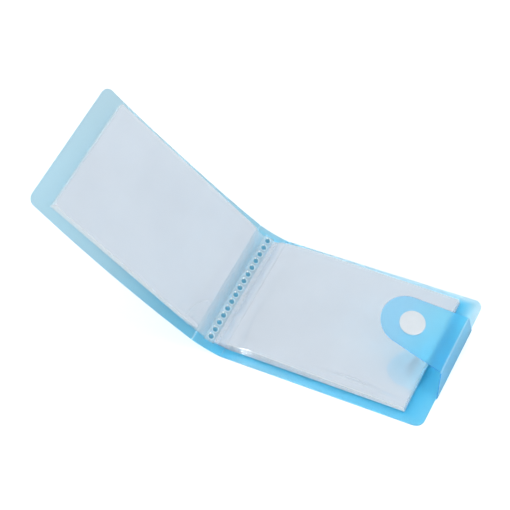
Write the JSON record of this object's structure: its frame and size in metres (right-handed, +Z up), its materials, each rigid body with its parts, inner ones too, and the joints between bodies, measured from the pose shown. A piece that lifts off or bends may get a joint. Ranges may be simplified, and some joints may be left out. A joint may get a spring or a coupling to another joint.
{
  "type": "business card album",
  "caption": "Translucent blue sheet album lying open, with clear film card pockets spot welded to its spine and a press snap closing flap.",
  "frame": {"origin": "centre of the back cover's underside, on the table", "axes": "+X from the spine to the fore edge across the back cover, +Y along the spine, +Z up"},
  "size_m": [0.1836, 0.07, 0.0901],
  "materials": {
    "cover_sheet": "frosted translucent blue sheet",
    "pocket_film": "clear glossy film",
    "welded_film": "heat-sealed clear film",
    "snap_plastic": "white moulded plastic"
  },
  "bodies": {
    "back_cover_body": {"back_cover": "cover_sheet"},
    "spine_body": {"spine_panel": "cover_sheet", "binding_strip": "welded_film", "film_roots_left": "pocket_film", "film_roots_right": "pocket_film"},
    "front_cover_body": {"front_cover": "cover_sheet", "snap_stud": "snap_plastic", "snap_cap_cover": "snap_plastic"},
    "flap_wall_body": {"flap_wall": "cover_sheet"},
    "flap_tongue_body": {"flap_tongue": "cover_sheet", "snap_cap_flap": "snap_plastic", "snap_socket": "snap_plastic"},
    "left_leaf_01": {"leaf_left_01_back": "pocket_film", "leaf_left_01_window": "pocket_film", "leaf_left_01_seam": "welded_film"},
    "left_leaf_02": {"leaf_left_02_back": "pocket_film", "leaf_left_02_window": "pocket_film", "leaf_left_02_seam": "welded_film"},
    "left_leaf_03": {"leaf_left_03_back": "pocket_film", "leaf_left_03_window": "pocket_film", "leaf_left_03_seam": "welded_film"},
    "left_leaf_04": {"leaf_left_04_back": "pocket_film", "leaf_left_04_window": "pocket_film", "leaf_left_04_seam": "welded_film"},
    "left_leaf_05": {"leaf_left_05_back": "pocket_film", "leaf_left_05_window": "pocket_film", "leaf_left_05_seam": "welded_film"},
    "left_leaf_06": {"leaf_left_06_back": "pocket_film", "leaf_left_06_window": "pocket_film", "leaf_left_06_seam": "welded_film"},
    "right_leaf_01": {"leaf_right_01_back": "pocket_film", "leaf_right_01_window": "pocket_film", "leaf_right_01_seam": "welded_film"},
    "right_leaf_02": {"leaf_right_02_back": "pocket_film", "leaf_right_02_window": "pocket_film", "leaf_right_02_seam": "welded_film"},
    "right_leaf_03": {"leaf_right_03_back": "pocket_film", "leaf_right_03_window": "pocket_film", "leaf_right_03_seam": "welded_film"},
    "right_leaf_04": {"leaf_right_04_back": "pocket_film", "leaf_right_04_window": "pocket_film", "leaf_right_04_seam": "welded_film"},
    "right_leaf_05": {"leaf_right_05_back": "pocket_film", "leaf_right_05_window": "pocket_film", "leaf_right_05_seam": "welded_film"},
    "right_leaf_06": {"leaf_right_06_back": "pocket_film", "leaf_right_06_window": "pocket_film", "leaf_right_06_seam": "welded_film"}
  },
  "joints": [
    {"name": "spine_fold", "type": "hinge", "parent": "back_cover_body", "child": "spine_body", "pos_m": [-0.052, 0, 0.00025], "axis": [0, -1, 0], "range_deg": [-60, 15], "deforming": ["film_roots_right"]},
    {"name": "cover_fold", "type": "hinge", "parent": "spine_body", "child": "front_cover_body", "pos_m": [-0.06608, 0, 0.00758], "axis": [0, -1, 0], "range_deg": [-68.88, 37.75], "deforming": ["film_roots_left"]},
    {"name": "flap_fold", "type": "hinge", "parent": "back_cover_body", "child": "flap_wall_body", "pos_m": [0.052, 0, 0.00025], "axis": [0, 1, 0], "range_deg": [-9.38, 82]},
    {"name": "tongue_fold", "type": "hinge", "parent": "flap_wall_body", "child": "flap_tongue_body", "pos_m": [0.05453, 0, 0.01827], "axis": [0, 1, 0], "range_deg": [-4.93, 78]},
    {"name": "left_leaf_01_turn", "type": "hinge", "parent": "front_cover_body", "child": "left_leaf_01", "pos_m": [-0.0645, 0, 0.0118], "axis": [0, 1, 0], "range_deg": [0, 110]},
    {"name": "left_leaf_02_turn", "type": "hinge", "parent": "front_cover_body", "child": "left_leaf_02", "pos_m": [-0.06543, 0, 0.01203], "axis": [0, 1, 0], "range_deg": [0, 90.22]},
    {"name": "left_leaf_03_turn", "type": "hinge", "parent": "front_cover_body", "child": "left_leaf_03", "pos_m": [-0.06636, 0, 0.01227], "axis": [0, 1, 0], "range_deg": [0, 70.42]},
    {"name": "left_leaf_04_turn", "type": "hinge", "parent": "front_cover_body", "child": "left_leaf_04", "pos_m": [-0.06729, 0, 0.0125], "axis": [0, 1, 0], "range_deg": [0, 50.62]},
    {"name": "left_leaf_05_turn", "type": "hinge", "parent": "front_cover_body", "child": "left_leaf_05", "pos_m": [-0.06823, 0, 0.01273], "axis": [0, 1, 0], "range_deg": [0, 30.82]},
    {"name": "left_leaf_06_turn", "type": "hinge", "parent": "front_cover_body", "child": "left_leaf_06", "pos_m": [-0.06917, 0, 0.01295], "axis": [0, 1, 0], "range_deg": [0, 11.02]},
    {"name": "right_leaf_01_lift", "type": "hinge", "parent": "back_cover_body", "child": "right_leaf_01", "pos_m": [-0.0496, 0, 0.00745], "axis": [0, -1, 0], "range_deg": [0, 9]},
    {"name": "right_leaf_02_lift", "type": "hinge", "parent": "back_cover_body", "child": "right_leaf_02", "pos_m": [-0.0496, 0, 0.00617], "axis": [0, -1, 0], "range_deg": [0, 7.4]},
    {"name": "right_leaf_03_lift", "type": "hinge", "parent": "back_cover_body", "child": "right_leaf_03", "pos_m": [-0.0496, 0, 0.00489], "axis": [0, -1, 0], "range_deg": [0, 5.78]},
    {"name": "right_leaf_04_lift", "type": "hinge", "parent": "back_cover_body", "child": "right_leaf_04", "pos_m": [-0.0496, 0, 0.0036], "axis": [0, -1, 0], "range_deg": [0, 4.16]},
    {"name": "right_leaf_05_lift", "type": "hinge", "parent": "back_cover_body", "child": "right_leaf_05", "pos_m": [-0.0496, 0, 0.00232], "axis": [0, -1, 0], "range_deg": [0, 2.54]},
    {"name": "right_leaf_06_lift", "type": "hinge", "parent": "back_cover_body", "child": "right_leaf_06", "pos_m": [-0.0496, 0, 0.00104], "axis": [0, -1, 0], "range_deg": [0, 0.92]}
  ],
  "couplings": [
    {"joint": "left_leaf_02_turn", "follows": "left_leaf_01_turn", "ratio": 0.82},
    {"joint": "left_leaf_03_turn", "follows": "left_leaf_01_turn", "ratio": 0.64},
    {"joint": "left_leaf_04_turn", "follows": "left_leaf_01_turn", "ratio": 0.46},
    {"joint": "left_leaf_05_turn", "follows": "left_leaf_01_turn", "ratio": 0.28},
    {"joint": "left_leaf_06_turn", "follows": "left_leaf_01_turn", "ratio": 0.1},
    {"joint": "right_leaf_02_lift", "follows": "right_leaf_01_lift", "ratio": 0.82},
    {"joint": "right_leaf_03_lift", "follows": "right_leaf_01_lift", "ratio": 0.64},
    {"joint": "right_leaf_04_lift", "follows": "right_leaf_01_lift", "ratio": 0.46},
    {"joint": "right_leaf_05_lift", "follows": "right_leaf_01_lift", "ratio": 0.28},
    {"joint": "right_leaf_06_lift", "follows": "right_leaf_01_lift", "ratio": 0.1}
  ]
}
